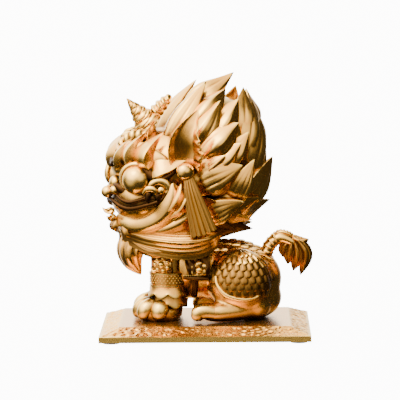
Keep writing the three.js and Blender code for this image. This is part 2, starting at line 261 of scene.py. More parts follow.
# %% Profiles and sections
def leaf(root, peak, point=1.3):
    """A leaf's half-width at t, from a share root of it at 0, widest at peak, to a tip at 1."""
    def width(t):
        if t < peak:
            return root + (1 - root) * sin(pi * t / (2 * peak))
        return max(0.0, cos(pi * (t - peak) / (2 - 2 * peak))) ** point
    return width


def oval(angle, t):
    return cos(angle), sin(angle)


def share_across(angle):
    """How far across a section an angle lies, from 1 to -1, and whether it is on the back."""
    turn = degrees(angle) % 360
    if turn <= 180:
        return 1 - turn / 90, False
    return -cos(radians(turn - 180)), True


def lick(lean=-0.25, broad=1.7, steep=1.25, belly=0.6, lines=0, depth=0.07):
    """A flame's section: a broad crowned side, a ridge, and a narrow side that falls steeply."""
    def section(angle, t):
        u, back = share_across(angle)
        x = lean * (1 - abs(u)) + u
        if back:
            return x, -belly * sqrt(max(0.0, 1 - u * u))
        height = 1 - abs(u) ** broad if u > 0 else (1 - abs(u)) ** steep
        if lines:
            cut = max(0.0, cos(2 * pi * lines * u)) ** 3
            height -= depth * cut * (1 - u * u) * sin(pi * min(1, 1.1 * t))
        return x, height
    return section


print("a lick's ridge stands at", lick()(pi / 2, 0.5))

# %% A smooth curve and one form
TANGENT_STEP = 0.01


def spot(points, t):
    """The point at t on a smooth curve through the points."""
    spans = len(points) - 1
    place = min(max(t, 0.0), 1.0) * spans
    k = min(int(place), spans - 1)
    w = place - k
    b, c = points[k], points[k + 1]
    a = points[k - 1] if k > 0 else 2 * b - c
    d = points[k + 2] if k + 2 <= spans else 2 * c - b
    curve = (c - a) * w + (2 * a - 5 * b + 4 * c - d) * w ** 2 + (3 * b - a - 3 * c + d) * w ** 3
    return b + 0.5 * curve


def form(spine, out, wide, thick=None, out_tip=None, profile=None, section=oval,
         turns=24, steps=20, rings=None):
    """A closed bmesh on a spine, with a profile or rings; its ridge faces out, then out_tip."""
    thick = wide if thick is None else thick
    points = [Vector(p) for p in spine]
    first, last = Vector(out), Vector(out_tip or out)
    if rings is None:
        rings = [(ring / steps, profile(ring / steps)) for ring in range(steps + 1)]
    steps = len(rings) - 1
    slices = []
    for ring, (t, size) in enumerate(rings):
        if ring in (0, steps):
            size = 0
        ahead = spot(points, min(t + TANGENT_STEP, 1))
        along = (ahead - spot(points, max(t - TANGENT_STEP, 0))).normalized()
        side = first.lerp(last, t).cross(along).normalized()
        lift = along.cross(side)
        slices.append((t, spot(points, t), side * wide * size, lift * thick * size, along))
    bm = bmesh.new()
    bmesh.ops.create_uvsphere(bm, u_segments=turns, v_segments=steps, radius=1)
    for vert in bm.verts:
        ring = round(acos(max(-1.0, min(1.0, vert.co.z))) / pi * steps)
        t, centre, side, lift, along = slices[ring]
        at = section(atan2(vert.co.y, vert.co.x), t)
        vert.co = centre + side * at[0] + lift * at[1]
        if len(at) == 3 and 0 < ring < steps:
            vert.co += along * at[2]
    # It goes by the normals from before the points moved, so some forms come out inside out.
    bmesh.ops.recalc_face_normals(bm, faces=bm.faces)
    return [bm]


def both(bm):
    """A form and its mirror image on the lion's other side."""
    other = bm.copy()
    bmesh.ops.scale(other, vec=(1, -1, 1), verts=other.verts)
    bmesh.ops.reverse_faces(other, faces=other.faces)
    return [bm, other]


def pair(*given, **named):
    """A form on a spine, on both sides."""
    return both(form(*given, **named)[0])


def ball(centre, radii, turns=32, steps=20, tilt=0):
    """An ellipsoid, tilted about Y in degrees."""
    bm = bmesh.new()
    bmesh.ops.create_uvsphere(bm, u_segments=turns, v_segments=steps, radius=1)
    bmesh.ops.scale(bm, vec=radii, verts=bm.verts)
    bmesh.ops.rotate(bm, matrix=Matrix.Rotation(radians(tilt), 3, "Y"), verts=bm.verts)
    bmesh.ops.translate(bm, vec=centre, verts=bm.verts)
    return [bm]


def balls(centre, radii, **named):
    """An ellipsoid on both sides."""
    x, y, z = centre
    return ball((x, y, z), radii, **named) + ball((x, -y, z), radii, **named)


def bead(centre, radius, level=1):
    """A small icosphere, which has few faces."""
    bm = bmesh.new()
    bmesh.ops.create_icosphere(bm, subdivisions=level, radius=radius)
    bmesh.ops.translate(bm, vec=centre, verts=bm.verts)
    return bm

# %% [markdown]
# ## From many forms towards one skin
# A casting has one skin. The forms could simply be left lying in each other, but then every
# piece would hide walls inside. The Boolean modifier's manifold solver joins a whole collection
# at once, but it expects faces that point outwards. Some forms don't meet that here, as `form`
# says, so some walls stay doubled or turned inwards. Soft flesh is first made by a voxel remesh
# of a few ellipsoids, which melts them together, and smoothed.

# %% Joining
def to_object(bm, name="form"):
    mesh = bpy.data.meshes.new(name)
    bm.to_mesh(mesh)
    bm.free()
    return bpy.data.objects.new(name, mesh)


def applied(host):
    """The host's mesh with its modifiers applied."""
    graph = bpy.context.evaluated_depsgraph_get()
    return bpy.data.meshes.new_from_object(host.evaluated_get(graph), depsgraph=graph)


def joined(forms):
    """One bmesh from many. Forms that are inside out leave faulty walls in it."""
    objects = [to_object(bm) for bm in forms]
    host = link(objects[0])
    group = bpy.data.collections.new("forms")
    for item in objects[1:]:
        group.objects.link(item)
    union = host.modifiers.new("union", "BOOLEAN")
    union.operation = "UNION"
    union.solver = "MANIFOLD"
    union.operand_type = "COLLECTION"
    union.collection = group
    bm = bmesh.new()
    bm.from_mesh(applied(host))
    for item in objects:
        bpy.data.objects.remove(item)
    bpy.data.collections.remove(group)
    return bm


def melted(forms, voxel, rounds):
    """The forms remeshed into one soft volume."""
    host = link(to_object(joined(forms)))
    remesh = host.modifiers.new("remesh", "REMESH")
    remesh.mode = "VOXEL"
    remesh.voxel_size = voxel
    bm = bmesh.new()
    bm.from_mesh(applied(host))
    bpy.data.objects.remove(host)
    for _ in range(rounds):
        bmesh.ops.smooth_vert(bm, verts=bm.verts, factor=0.5, use_axis_x=True, use_axis_y=True,
                              use_axis_z=True)
    return [bm]

# %% [markdown]
# ## Setting a piece in the frame
# The figure was drawn with its paws at z = 0 and the head looking straight along -X. Here the
# head is turned 17 degrees, the figure is scaled by 0.98 to meet the known height, and it is
# set on the plate, whose top is 10 mm up. The foot is cut a hair below the plate's top, so that
# no light shows under it. The turn could be made on the finished object, but a piece's object
# stays at the origin, so its place goes into its mesh.

# %% Placing
FIGURE_SCALE = 0.98
PLATE_TOP = 10.0
FOOT_CUT = -0.3
NECK_SHIFT, NECK_DEGREES = (-15, 0, 0), 17
HEAD_TURN = Matrix.Translation(NECK_SHIFT) @ Matrix.Rotation(radians(NECK_DEGREES), 4, "Z")
SET_ON_PLATE = Matrix.Translation((0, 0, PLATE_TOP)) @ Matrix.Scale(FIGURE_SCALE, 4)
pieces = []


def set_piece(name, bm, node, material, sharp=38):
    """A finished piece in metres; creases steeper than sharp degrees stay sharp."""
    bmesh.ops.transform(bm, matrix=Matrix.Scale(MM, 4), verts=bm.verts)
    bmesh.ops.triangulate(bm, faces=bm.faces)
    piece = link(to_object(bm, name))
    piece.data.polygons.foreach_set("use_smooth", [True] * len(piece.data.polygons))
    piece.data.set_sharp_from_angle(angle=radians(sharp))
    piece.data.materials.append(material)
    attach(piece, "root")
    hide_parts(node)
    pieces.append(piece)
    print(name, "has", len(piece.data.polygons), "triangles")


def cast(name, forms, head=False, material=casting_gold):
    """One piece of the lion from its forms."""
    bm = joined(forms)
    if head:
        bmesh.ops.transform(bm, matrix=HEAD_TURN, verts=bm.verts)
    low = bmesh.ops.bisect_plane(bm, geom=bm.verts[:] + bm.edges[:] + bm.faces[:], dist=1e-4,
                                 plane_co=(0, 0, FOOT_CUT), plane_no=(0, 0, 1), clear_inner=True)
    rim = [item for item in low["geom_cut"] if isinstance(item, bmesh.types.BMEdge)]
    if rim:
        bmesh.ops.holes_fill(bm, edges=rim, sides=0)
    bmesh.ops.transform(bm, matrix=SET_ON_PLATE, verts=bm.verts)
    set_piece(name, bm, "lion", material)


print("the figure stands at", PLATE_TOP, "mm, and its head turns", NECK_DEGREES, "degrees")

# %% [markdown]
# ## The mane
# The mane is a thick coat of flame locks. Each one hugs the head from its root and lifts away
# at its tip. Drawing every spine by hand would be slow, so a lock is given by its tip, its root,
# its width and its kind, and its spine is the arc between them round an egg-shaped core. The
# tips on the side come from the photograph, and the middle and the back are filled to match.
# The side locks are cast on both sides of the head.

# %% Lock tables
MANE_CENTRE = Vector((15, 0, 106))
MANE_RADII = (40, 38, 52)
MANE_LEAN = Matrix.Rotation(radians(22), 3, "Y")
FROM_CORE = MANE_LEAN @ Matrix.Diagonal(MANE_RADII)
TO_CORE = FROM_CORE.inverted()
MIDDLE_LOCKS = [
    ((37.3, 0, 168.4), (4, 0, 146), 15, "flame"),
    ((46, 0, 157), (36, 0, 120), 15, "flame"),
    ((52.3, 0, 142.6), (44, 0, 108), 12, "flame"),
    ((56, 0, 119), (50, 0, 80), 12, "pleat"),
    ((57, 0, 90), (38, 0, 62), 12, "pleat"),
    ((50, 0, 64), (14, 0, 54), 16, "flame"),
    ((54, 0, 74), (22, 0, 54), 13, "pleat"),
]
SIDE_LOCKS = [
    ((14.1, -12, 163.5), (-22, -14, 122), 12, "flame"),
    ((-2, -28, 143), (-25, -22, 110), 10, "flame"),
    ((19.8, -26.1, 150.9), (-4, -30, 122), 12, "flame"),
    ((27, -14, 158), (-2, -24, 134), 12, "flame"),
    ((33.4, -22.8, 151.6), (14, -32, 128), 10, "flame"),
    ((41.3, -9, 158.6), (36, -22, 126), 10, "flame"),
    ((46, -14, 150), (40, -28, 116), 9, "flame"),
    ((30, -34.7, 136.2), (4, -35, 116), 13, "flame"),
    ((37, -34.8, 129.9), (24, -37, 106), 9, "flame"),
    ((51, -16, 137), (44, -27, 98), 10, "flame"),
    ((53, -14, 124), (46, -24, 84), 9, "pleat"),
    ((30.3, -38.9, 122.9), (12, -39, 104), 9, "flame"),
    ((18.3, -42, 115), (0, -38, 99), 7, "pleat"),
    ((30.8, -40.3, 107.7), (-6, -37, 88), 14, "shell"),
    ((40.4, -36.3, 111.2), (36, -35, 68), 13, "fan"),
    ((60.4, -14, 110.6), (46, -25, 62), 17, "pleat"),
    ((32.8, -38, 82.8), (8, -33, 48), 15, "fan"),
    ((59.1, -12, 80.7), (24, -20, 56), 15, "pleat"),
    ((44.1, -20, 61.8), (6, -16, 54), 14, "flame"),
    ((12.4, -39.1, 83.6), (-2, -34, 70), 7, "flame"),
    ((47, -27, 84), (20, -30, 54), 12, "pleat"),
    ((41, -29, 69), (12, -27, 50), 10, "pleat"),
    ((30, -31, 62), (-2, -26, 50), 9, "flame"),
]
# Of each kind: its section, its turns and steps, and its thickness as a share of its width.
LOCK_SECTIONS = {
    "flame": (lick(lean=-0.3, broad=1.5, steep=0.9, lines=2, depth=0.07), 72, 28, 0.72),
    "pleat": (lick(lean=-0.2, broad=1.8, steep=1.2, lines=3, depth=0.10), 84, 28, 0.7),
    "fan": (lick(lean=0.1, broad=1.6, steep=1.5, lines=4, depth=0.08), 100, 28, 0.8),
    "shell": (lick(lean=-0.45, broad=1.9, steep=1.2, lines=4, depth=0.07), 100, 28, 0.5),
}
print("locks:", len(MIDDLE_LOCKS), "in the middle and", len(SIDE_LOCKS), "pairs")

# %% Mane
SPINE_STEPS = 8
ROOT_DEPTH = 0.85
CORE_SHARE = 0.93


def lock_spine(tip, root):
    """The arc round the mane's core from root to tip, lifting away at the end."""
    start = (TO_CORE @ (Vector(root) - MANE_CENTRE)).normalized()
    end = TO_CORE @ (Vector(tip) - MANE_CENTRE)
    turn = start.rotation_difference(end.normalized())
    spine = []
    for k in range(SPINE_STEPS + 1):
        share = k / SPINE_STEPS
        reach = ROOT_DEPTH + (1 - ROOT_DEPTH) * share + (end.length - 1) * share ** 4
        spine.append(MANE_CENTRE + FROM_CORE @ (Quaternion().slerp(turn, share) @ start) * reach)
    return spine


def lock(make, tip, root, wide, kind):
    """One lock, whose ridge faces away from the middle of the mane."""
    spine = lock_spine(tip, root)
    section, turns, steps, thick = LOCK_SECTIONS[kind]
    return make(spine, spine[SPINE_STEPS // 2] - MANE_CENTRE, wide, thick * wide,
                profile=leaf(0.6, 0.42, 0.9), section=section, turns=turns, steps=steps)


core = ball((0, 0, 0), (1, 1, 1), turns=48, steps=32)
bmesh.ops.transform(core[0], matrix=(FROM_CORE * CORE_SHARE).to_4x4(), verts=core[0].verts)
bmesh.ops.translate(core[0], vec=MANE_CENTRE, verts=core[0].verts)
mane = core + ball((20, 0, 80), (35, 33.5, 22), turns=48, steps=28, tilt=-15)
for make, table in ((form, MIDDLE_LOCKS), (pair, SIDE_LOCKS)):
    for row in table:
        mane += lock(make, *row)
cast("lion_mane", mane, head=True)

# %% [markdown]
# ## The face
# The skull, the muzzle and the jaw are soft, so three ellipsoids are melted together. The
# carved parts then go on as crisp forms, since a melt would blur them: first a ribbed crest and
# a horn that is a screw of coils. Both are round forms whose section changes with the height.

# %% Skull, crest and horn
SKULL = [((-6, 0, 103), (36, 34, 30)), ((-27, 0, 84), (23, 31, 18)), ((-8, 0, 70), (31, 33, 17))]
face = melted([bm for centre, radii in SKULL for bm in ball(centre, radii)], voxel=1.3, rounds=8)


def knotted(angle, t):
    """The crest's section, with eight ribs that run askew."""
    rib = 1 + 0.16 * sin(2 * pi * 8 * t + 2.2 * angle)
    return rib * cos(angle), rib * sin(angle)


def coiled(angle, t):
    """The horn's section: a screw of coils crossed by small cuts."""
    wrap = abs(sin(pi * 5 * t + angle / 2))
    cross = abs(sin(pi * 7 * t - angle * 1.5))
    reach = 0.86 + 0.14 * wrap ** 0.7 - 0.10 * (1 - cross) ** 3
    return reach * cos(angle), reach * sin(angle)


face += form([(-29, 0, 127), (-20, 0, 141), (-8, 0, 154)], (-1, 0, 1), 5.5, 4.5,
             profile=leaf(0.7, 0.5, 0.4), section=knotted, turns=28, steps=64)
face += form([(-23.5, 0, 134), (-31.4, 0, 143.2), (-39.2, 0, 152.4)], (0, 1, 0), 11,
             profile=lambda t: 1 - 0.97 * t, section=coiled, turns=44, steps=72)
face += ball((-26, 0, 131), (7, 8, 7), turns=24, steps=16)
print("skull points:", len(face[0].verts))

# %% [markdown]
# Six small tongues climb each side of the forehead, like the teeth of a comb. They could be
# one toothed form, but short separate spines can each turn a little further than the last.

# %% Forehead curls
CURLS = [
    ([(-42, 0, 113), (-45, -1, 117), (-43.1, 2.4, 122)], 2.2),
    ([(-40.8, -2, 117), (-43, -1, 122), (-39.2, 4, 126.7)], 2.4),
    ([(-38.2, -5, 119), (-40, -4, 126), (-35.8, 0, 129.5)], 2.5),
    ([(-35.6, -8, 121), (-37, -8, 128), (-32.8, -4, 131.3)], 2.5),
    ([(-32.8, -11, 122), (-34, -12, 128), (-30, -8, 132.5)], 2.4),
    ([(-30, -14, 123), (-31, -16, 128), (-27.5, -13, 132)], 2.2),
]
for spine, wide in CURLS:
    face += pair(spine, (-1, -0.3, 0.3), wide, 1.1 * wide, profile=leaf(0.7, 0.4, 0.6),
                 turns=18, steps=18)
print("forehead curls on each side:", len(CURLS))

# %% [markdown]
# A brow is a swelling band with a rim below it and four flames that rise from it. The flames
# have a sharp ridge close to one edge, so each one throws a shade on the next.

# %% Brows
BROW_RIM = [(-50, 3, 107), (-47.5, -6, 110.5), (-41.5, -18.5, 110.8), (-35, -27.5, 107),
            (-31, -32, 101.8), (-26.4, -34.6, 99.6), (-20, -37, 102), (-10.8, -38, 110.7)]
BROW_FLAMES = [
    ([(-45, -5, 106), (-46.5, -6.5, 113), (-43.5, -8, 119.5), (-37.5, -10, 127)], 7, 6),
    ([(-40, -15, 108), (-42.5, -16.5, 115), (-39, -17.5, 122), (-29.5, -17, 131)], 7.5, 7.5),
    ([(-33, -25, 107), (-35.5, -27, 113.5), (-31.5, -27.5, 121), (-20, -24.3, 130.5)], 8.5, 8),
    ([(-30, -30, 104), (-25.5, -34.5, 106.5), (-18.5, -37.5, 108.5), (-8.5, -40, 112.5)], 6.5, 5.4),
]
BROW_BAND = [(-45, 4, 113), (-43, -9, 116), (-37, -20, 117), (-29, -28.5, 113.5), (-19, -34, 110)]
BROW_CENTRE = Vector((-12, 0, 104))
face += ball((-31, 0, 106), (19, 18, 12), turns=28, steps=20)
face += pair(BROW_BAND, (-1, -0.3, 0.3), 8, 3.6, out_tip=(-0.2, -1, 0.2),
             profile=leaf(0.8, 0.4, 0.4), turns=32, steps=28)
face += pair(BROW_RIM, (-1, -0.4, -0.2), 3.6, 3, out_tip=(-0.1, -1, 0),
             profile=leaf(0.6, 0.5, 0.7), turns=20, steps=40)
for spine, wide, thick in BROW_FLAMES:
    face += pair(spine, Vector(spine[1]) - BROW_CENTRE, wide, thick, profile=leaf(0.85, 0.25, 1.0),
                 section=lick(lean=-0.6, broad=1.3, steep=0.9), turns=40, steps=28)
print("brow flames on each side:", len(BROW_FLAMES))

# %% [markdown]
# The eye is a smooth ball that bulges from the skull, under a lid that is open below. The lid
# could be a torus, but a form on an arc of points can thin towards its two ends. The nose is a
# cluster of little balls, with a fold that runs back under the eye.

# %% Eyes and nose
EYE = Vector((-39, -24, 98.8))
EYE_RADIUS = 10.2
LID_RADIUS, LID_LIFT = 10.6, 1.5
eye_out = Vector((-0.55, -0.83, 0.05)).normalized()
eye_side = eye_out.cross(Vector((0, 0, 1))).normalized()
lid = []
for bearing in range(-35, 216, 25):
    turn = radians(bearing)
    ring = eye_side * cos(turn) + Vector((0, 0, sin(turn)))
    lid.append(EYE + ring * LID_RADIUS + eye_out * LID_LIFT)
face += balls(EYE, (EYE_RADIUS, EYE_RADIUS, EYE_RADIUS), turns=48, steps=32)
face += pair(lid, eye_out, 2.0, 2.4, profile=leaf(0.5, 0.5, 0.5), turns=16, steps=48)
face += ball((-53.5, 0, 89), (4.3, 4.6, 4.2))
face += balls((-49.5, -6, 90.5), (3.8, 3.4, 3.4))
face += ball((-48, 0, 95), (4, 5, 5))
face += pair([(-50, -4, 94), (-47, -10, 92), (-42, -14, 88), (-38, -20, 86)], (-1, -0.7, 0),
             3, 2.6, profile=leaf(0.6, 0.4, 0.8), turns=16, steps=16)
print("lid points:", len(lid))

# %% [markdown]
# Two thin lips run back from the muzzle and meet a curl at the corner of the mouth. All are
# cords on measured curves. Two fangs hang near each corner.

# %% Lips, mouth corners and fangs
LIP_LINE = [(-50.1, -11, 87.8), (-47.6, -16.7, 84.7), (-43.5, -22.1, 83.4), (-38.6, -27.4, 85.1),
            (-33.9, -31, 86.9), (-27.8, -34.1, 86.3)]
LOWER_LINE = [(-52.6, 0.7, 85.7), (-50.9, -7.8, 82.8), (-47.7, -14.1, 79.9), (-42.6, -21.3, 79),
              (-34.3, -29.7, 81.7), (-25.9, -34.8, 85.2), (-21.6, -37, 90.5)]
MOUTH_CURL = [(-33.4, -32.3, 92.2), (-31.4, -33.6, 96.2), (-26.9, -35.5, 98.6),
              (-22.4, -37, 97), (-20.6, -37.4, 92.6), (-23, -36.8, 89.6)]
SMALL_CURL = [(-36.8, -30.4, 89.5), (-34.4, -32.4, 93), (-30.3, -34.6, 92.9), (-28, -35, 89)]
FANGS = [((-32.6, -31.5, 91), (-34.4, -32.2, 83.5)), ((-27.4, -34, 90), (-26.4, -35.2, 83))]
face += pair(LIP_LINE, (-0.7, -0.8, 0.3), 1.5, 1.7, profile=leaf(0.5, 0.5, 0.6),
             turns=16, steps=32)
face += pair(LOWER_LINE, (-0.7, -0.8, 0), 1.8, 1.5, profile=leaf(0.6, 0.5, 0.6),
             turns=16, steps=36)
face += pair(MOUTH_CURL, (-0.3, -1, 0), 2.9, 2.4, profile=leaf(0.5, 0.5, 0.5),
             turns=20, steps=28)
face += pair(SMALL_CURL, (-0.3, -1, 0), 2.3, 2, profile=leaf(0.5, 0.5, 0.5), turns=16, steps=20)
face += balls((-24.8, -35.2, 92.2), (3.2, 2.7, 3.2), turns=28, steps=18)
for root, tip in FANGS:
    middle = [(a + b) / 2 for a, b in zip(root, tip)]
    face += pair([root, middle, tip], (0, -1, 0), 2.5, profile=leaf(0.9, 0.2, 0.9),
                 turns=16, steps=12)
cast("lion_face", face, head=True)

# %% [markdown]
# ## The beard
# The beard runs round the jaw in overlapping tongues whose tips turn up beside the mouth, with
# small hooks at the chin. They are drawn as the locks are, but each on a spine of its own,
# since they follow the jaw and not the mane's core. The broad ones have one cut along them.

# %% Beard
smooth_cut = lick(lean=0.1, broad=2.4, steep=2.0, belly=0.7)
slit_cut = lick(lean=0.1, broad=2.4, steep=2.0, belly=0.7, lines=1, depth=0.10)
# Of each tongue: its spine, its width, its thickness and its section.
BEARD = [
    ([(-45, 3, 67), (-41, -9, 64.5), (-34.5, -18.5, 64), (-27.5, -26.5, 67), (-21.5, -32.5, 72.5),
      (-18, -37.5, 80.5), (-17, -39.4, 89.5), (-18.3, -39.6, 98.2)], 11, 5.8, slit_cut),
    ([(-42, 2, 60.5), (-34, -14, 59.5), (-24, -24.5, 61.5), (-15, -31.5, 65.5), (-8, -36.5, 71.5),
      (-4, -38.5, 79)], 10, 5.4, slit_cut),
    ([(-24, -33, 74), (-17.5, -38.5, 80), (-14, -41, 88), (-12.6, -41, 97.4)], 5, 4.6, smooth_cut),
    ([(-18, -35, 73), (-11.5, -40, 79), (-8.5, -42, 87), (-7.6, -41.6, 96)], 4.6, 4.2, smooth_cut),
    ([(-19, -36, 73), (-15, -38.8, 77.5), (-10.7, -40, 83.5)], 2.6, 2.4, smooth_cut),
]
beard = []
for spine, wide, thick, section in BEARD:
    beard += pair(spine, (-1, -0.8, -0.2), wide, thick, out_tip=(0.1, -1, 0),
                  profile=leaf(0.75, 0.45, 0.8), section=section, turns=48, steps=40)
CHIN_TIPS = [
    ([(-49, -2, 77), (-53.5, -2, 75.5), (-57.5, 0, 78.4)], 2.2),
    ([(-48, 0, 73), (-51.5, 0, 70.5), (-54, 2, 72)], 2.6),
    ([(-47, -2, 69), (-49.5, -3, 65), (-49, -3, 61.5)], 3.4),
    ([(-44, -8, 66), (-43.5, -11, 61), (-39.5, -13, 58)], 3.6),
]
for spine, wide in CHIN_TIPS:
    beard += pair(spine, (-1, -0.5, -0.4), wide, 0.8 * wide, profile=leaf(0.8, 0.3, 1.0),
                  section=smooth_cut, turns=24, steps=16)
print("beard forms:", len(beard))

# %% [markdown]
# Under the beard a long sweep of chest hair crosses the neck, with a shorter one below it, and
# a tuft hangs over the breast. The sweeps are tongues with four cuts. The tuft is round, so its
# pleats go all the way about it.

# %% Chest hair
sweep_cut = lick(lean=0.2, broad=1.8, steep=1.4, belly=0.6, lines=4, depth=0.10)
LONG_SWEEP = [(-44, -2, 60), (-31, -24, 56.5), (-12, -36, 54.5), (5, -38.5, 56),
              (17.5, -34.5, 60.5)]
SHORT_SWEEP = [(-40, -6, 57), (-33, -20, 51.5), (-24, -28.5, 49.5), (-13.5, -31, 52)]
beard += pair(LONG_SWEEP, (-0.3, -1, 0.2), 10, 6, out_tip=(0, -1, 0),
              profile=leaf(0.5, 0.6, 0.8), section=sweep_cut, turns=104, steps=48)
beard += pair(SHORT_SWEEP, (-0.5, -1, -0.2), 4.8, 4.6, profile=leaf(0.6, 0.45),
              section=sweep_cut, turns=80, steps=32)


def pleated(angle, t):
    """The chest tuft's section, with fine pleats that deepen towards its tip."""
    reach = 1 - (0.05 + 0.05 * t) * abs(sin(7.5 * angle + t)) ** 0.7
    return reach * cos(angle), reach * sin(angle)


beard += form([(-28, 0, 62), (-36.5, 0, 52), (-37, 0, 42), (-30.4, 0, 30.6)], (-1, 0, 0), 15, 9.5,
              profile=leaf(0.7, 0.42, 0.85), section=pleated, turns=120, steps=36)
# The beard gets the gold with less toning and painted shade.
cast("lion_beard", beard, head=True, material=less_shaded_gold)

# %% [markdown]
# ## Ears and tassels
# The ear is a leaf whose front is hollow, with a wavy rim, and a fluted tassel hangs from a
# ball before it. Ears and tassels stick out and are a piece of their own, with less painted
# shade. The hollow could be cut with a Boolean, but a section that dips makes it at once.

# %% Ears
def cupped(angle, t):
    """The ear's section: a deep hollow between a thin front rim and a ruffled back one."""
    u, back = share_across(angle)
    if back:
        return u, -0.8 * sqrt(max(0.0, 1 - u * u))
    height = 1.1 * abs(u) ** 4 - 0.55 * (1 - u * u) * sin(pi * min(1, 1.2 * t))
    if u < -0.5:
        ruffle = sin(2 * pi * 7 * t) * (-u - 0.5)
        return u + 0.24 * ruffle, (height + 0.9 * (-u - 0.5)) * sqrt(max(0.0, 1 - u ** 12))
    return u, height * sqrt(max(0.0, 1 - u ** 12))


ears = pair([(-8, -37, 101), (-10, -41.5, 114), (-10, -43.5, 128), (-0.5, -41, 146.4)],
            (-0.35, -1, 0.1), 11.5, 5, profile=leaf(0.5, 0.42, 0.9), section=cupped,
            turns=80, steps=56)
ears += balls((-10.5, -43, 104.9), (6.2, 5.6, 6), turns=40, steps=28)
print("ear points:", len(ears[0].verts))

# %% Tassels
def fluted(angle, t):
    """The tassel's section, with deep flutes that end in a scalloped hem."""
    flute = abs(sin(6.5 * angle)) ** 0.8
    reach = 1 - 0.26 * (1 - flute) * min(1, 4 * t)
    return reach * cos(angle), reach * sin(angle), 1.1 * flute * t ** 3


TASSEL_RINGS = [(0, 0)] + [(k / 20, 0.34 + 0.66 * (k / 20) ** 1.2) for k in range(1, 20)]
TASSEL_RINGS += [(1, 1), (0.99, 0.7), (0.985, 0)]
ears += pair([(-8.5, -43, 103), (-5.5, -44.5, 88), (1.5, -45, 64)], (0, -1, 0), 9.6, 5.4,
             rings=TASSEL_RINGS, section=fluted, turns=104)
cast("lion_ears_and_tassels", ears, head=True, material=less_shaded_gold)

# %% [markdown]
# ## The body
# The trunk, the haunches and the hind legs are smooth, so they are melted from ellipsoids and
# one long form. The forelegs, toes and cuffs are crisp and go on top.

# %% Flesh
TRUNK = [((-10, 0, 38), (24, 23, 25)), ((8, 0, 33), (30, 24, 20.5)), ((17, 0, 34), (29, 19, 19.5)),
         ((26, 0, 27), (26.5, 25, 23)), ((34, 0, 14), (18.5, 22, 15)), ((-3, 0, 34), (17, 28, 19))]
HAUNCH_AT = Vector((23, -20, 28))
trunk = [bm for centre, radii in TRUNK for bm in ball(centre, radii)]
trunk += balls(HAUNCH_AT, (21.5, 17.5, 22))
trunk += balls((34, -16, 11), (11, 12, 11))
trunk += pair([(36, -18, 9), (22, -24, 8), (8, -28.5, 7.4), (-3, -29.5, 6.4)], (0, 0, 1), 8.4, 7,
              profile=leaf(0.9, 0.5, 0.3), turns=24, steps=20)
flesh = melted(trunk, voxel=1.2, rounds=6)[0]
skin = BVHTree.FromBMesh(flesh)
body = [flesh]
print("flesh points:", len(flesh.verts))

# %% [markdown]
# A foreleg is a turned post: a list of heights and radii gives its rings. The paw is a low
# ball with three toes, each a form that arches forward and comes down at its tip.

# %% Forelegs and paws
LEG_X, LEG_Y = -25.3, -13
LEG_FOOT, LEG_TOP = 3, 58
LEG_RINGS = [(3, 0), (3, 9), (12, 10.4), (22, 11.2), (24, 12.4), (24.4, 12.9), (25.6, 12.9),
             (26, 12.2), (32.4, 12.3), (32.8, 13), (34, 13), (34.4, 12.4), (35, 11.8),
             (58, 11.8), (58, 0)]
# Of each toe: its turn in degrees, how far it reaches and its width.
TOES = [(-6, 21.5, 5.8), (26, 19.5, 6), (62, 14.5, 6.4)]


def on_leg(*heights):
    """Points on the foreleg's axis."""
    return [(LEG_X, LEG_Y, z) for z in heights]


body += pair(on_leg(LEG_FOOT, 30, LEG_TOP), (0, -1, 0), 1, turns=64,
             rings=[((z - LEG_FOOT) / (LEG_TOP - LEG_FOOT), radius) for z, radius in LEG_RINGS])
body += balls((LEG_X - 6, LEG_Y - 1, 6), (15, 12.5, 10), turns=40, steps=24)
for bearing, reach, wide in TOES:
    turn = radians(bearing)
    aim = Vector((-cos(turn), -sin(turn), 0))
    root = Vector((LEG_X, LEG_Y, 0)) + aim * 4
    toe = [root + aim * (reach - back) + Vector((0, 0, z))
           for back, z in ((reach, 10.5), (12, 11), (6, 8), (4.5, 1))]
    body += pair(toe, (0, 0, 1), wide, 0.95 * wide, out_tip=aim + Vector((0, 0, 0.2)),
                 profile=leaf(0.8, 0.6, 0.35), turns=32, steps=28)
print("toes on each forepaw:", len(TOES))

# %% [markdown]
# The foreleg wears a fringe of two scalloped hems. A hem is a short sleeve whose lower edge is
# pushed up and down round the leg, which the section does with its third value.

# %% Hems
HEMS = [(12, 20, 12.9), (19, 25, 13.6)]
HEM_RINGS = [(0, 0), (0, 0.86), (0.01, 1), (0.12, 1.01), (0.3, 0.96), (0.6, 0.92), (1, 0.9), (1, 0)]


def hem(angle, t):
    """A sleeve's section with a scalloped lower edge and soft pleats."""
    scallop = abs(sin(4 * angle))
    fall = (1 - t) ** 2
    reach = 1 + 0.05 * scallop * fall
    return reach * cos(angle), reach * sin(angle), -2.6 * scallop * fall


for low, high, radius in HEMS:
    body += pair(on_leg(low, (low + high) / 2, high), (0, -1, 0), radius, rings=HEM_RINGS,
                 section=hem, turns=96)
print("hems on each foreleg:", len(HEMS))

# %% [markdown]
# Above the hems come a beaded band and a knot of knobs with scrolls at the shoulder. The beads
# are small icospheres with 80 faces, since hundreds are needed, and noise varies their size.

# %% Beaded band
BAND_ROWS, BAND_BEADS = 4, 30
BAND_RADIUS, BAND_FOOT, ROW_STEP = 12.3, 26.9, 1.55
for row in range(BAND_ROWS):
    for i in range(BAND_BEADS):
        turn = 2 * pi * (i + 0.5 * (row % 2)) / BAND_BEADS
        place = (LEG_X + BAND_RADIUS * cos(turn), LEG_Y + BAND_RADIUS * sin(turn),
                 BAND_FOOT + ROW_STEP * row)
        body += both(bead(place, 0.62 + 0.12 * noise.noise(Vector(place))))
print("beads on each foreleg:", BAND_ROWS * BAND_BEADS)

